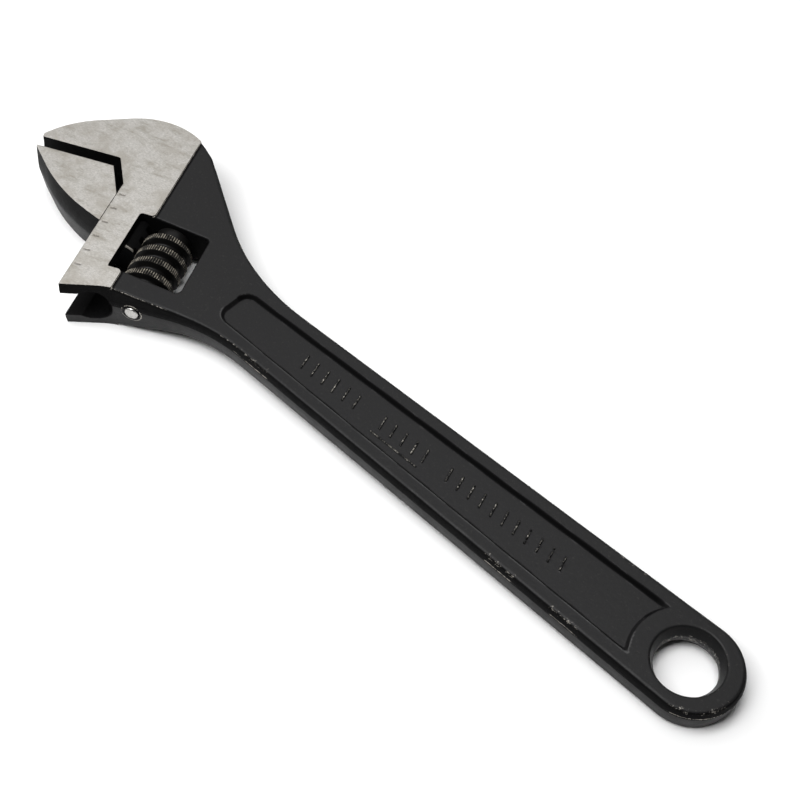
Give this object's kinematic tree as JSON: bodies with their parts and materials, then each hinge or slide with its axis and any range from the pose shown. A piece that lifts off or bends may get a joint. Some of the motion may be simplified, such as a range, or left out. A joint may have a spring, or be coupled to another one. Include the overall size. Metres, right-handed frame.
{
  "type": "adjustable wrench",
  "caption": "Forged adjustable wrench with an angled head, a sliding jaw on a racked shank, a thumb worm that sets the opening and a hanging hole in the handle.",
  "frame": {"origin": "centre of the hanging hole in the tail of the handle, at mid thickness", "axes": "+X along the handle to the head, +Y to the side the sliding jaw opens towards, +Z square to the flat cheeks"},
  "size_m": [0.4501, 0.114, 0.029],
  "materials": {
    "black_phosphate": "satin black phosphate on forged steel, ground bare on the head",
    "ground_steel": "ground and polished cheeks, black phosphate on the outer edge",
    "blackened_worm": "oiled black, worn on the knurled thread crests",
    "pin_steel": "bare steel",
    "spring_steel": "oiled spring wire"
  },
  "bodies": {
    "frame": {"body": "black_phosphate", "worm_pin": "pin_steel", "worm_spring": "spring_steel"},
    "jaw": {"sliding_jaw": "ground_steel"},
    "thumb_worm": {"worm": "blackened_worm"}
  },
  "joints": [
    {"name": "worm_spin", "type": "hinge", "parent": "frame", "child": "thumb_worm", "pos_m": [0.32306, 0.00612, 0], "axis": [-0.4067, 0.9135, 0], "range_deg": [-2133.76, 278.88]},
    {"name": "jaw_slide", "type": "slide", "parent": "frame", "child": "jaw", "axis": [-0.4067, 0.9135, 0], "range_m": [-0.00635, 0.0486]}
  ],
  "couplings": [
    {"joint": "worm_spin", "follows": "jaw_slide", "rad_per_m": -766.24}
  ]
}
